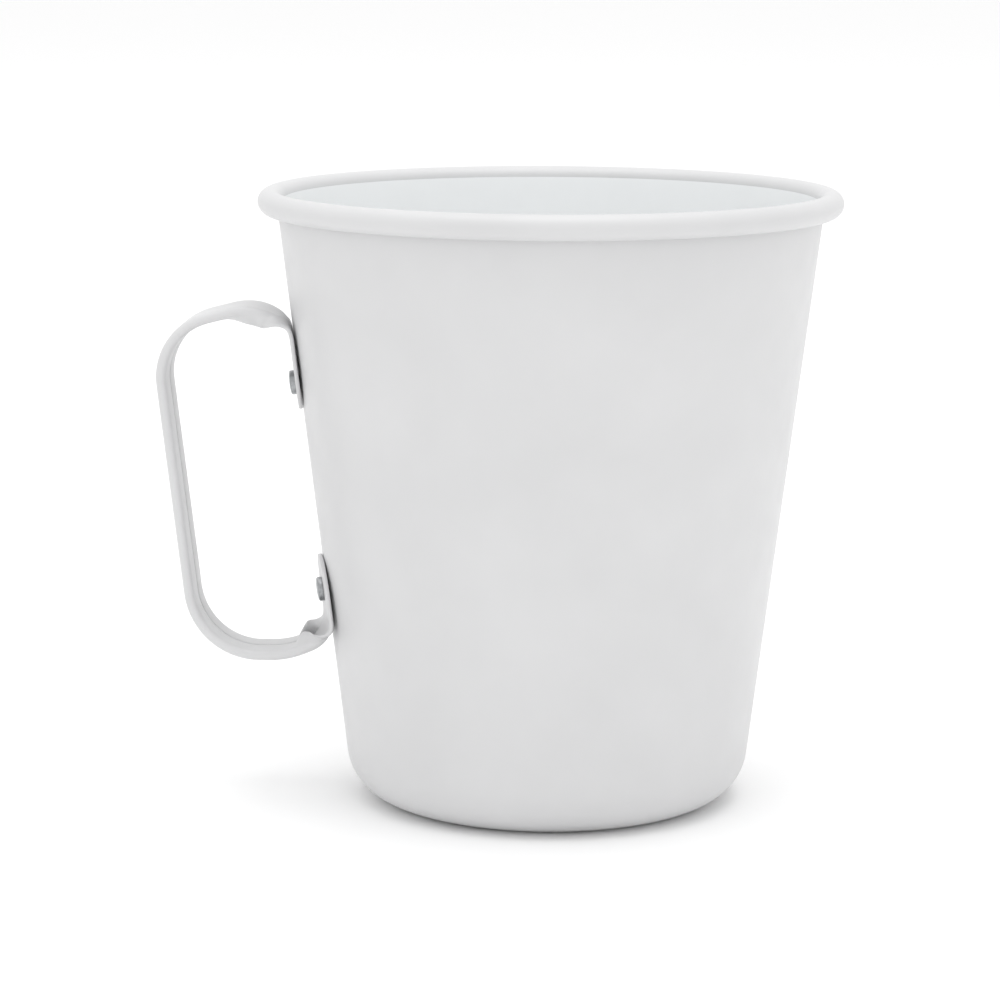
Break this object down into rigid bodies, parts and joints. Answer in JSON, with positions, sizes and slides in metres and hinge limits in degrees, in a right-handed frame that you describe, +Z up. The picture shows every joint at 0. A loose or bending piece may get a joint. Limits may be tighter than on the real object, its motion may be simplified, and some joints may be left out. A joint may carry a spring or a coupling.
{
  "type": "dipping cup",
  "caption": "Tapered open cup with a rolled rim, a flat base and one riveted strap handle.",
  "frame": {"origin": "centre of the flat underside of the cup, on the cup's axis", "axes": "+Z up along the cup's axis, -X towards the handle, the handle's upper rivet in the XZ plane"},
  "size_m": [0.1175, 0.1, 0.106],
  "materials": {
    "white_coat": "satin white coating with a faint texture",
    "bare_aluminium": "bare metal, lightly scuffed"
  },
  "bodies": {
    "root": {"cup_shell": "white_coat", "handle_strap": "white_coat", "upper_rivet": "bare_aluminium", "lower_rivet": "bare_aluminium"}
  },
  "joints": []
}
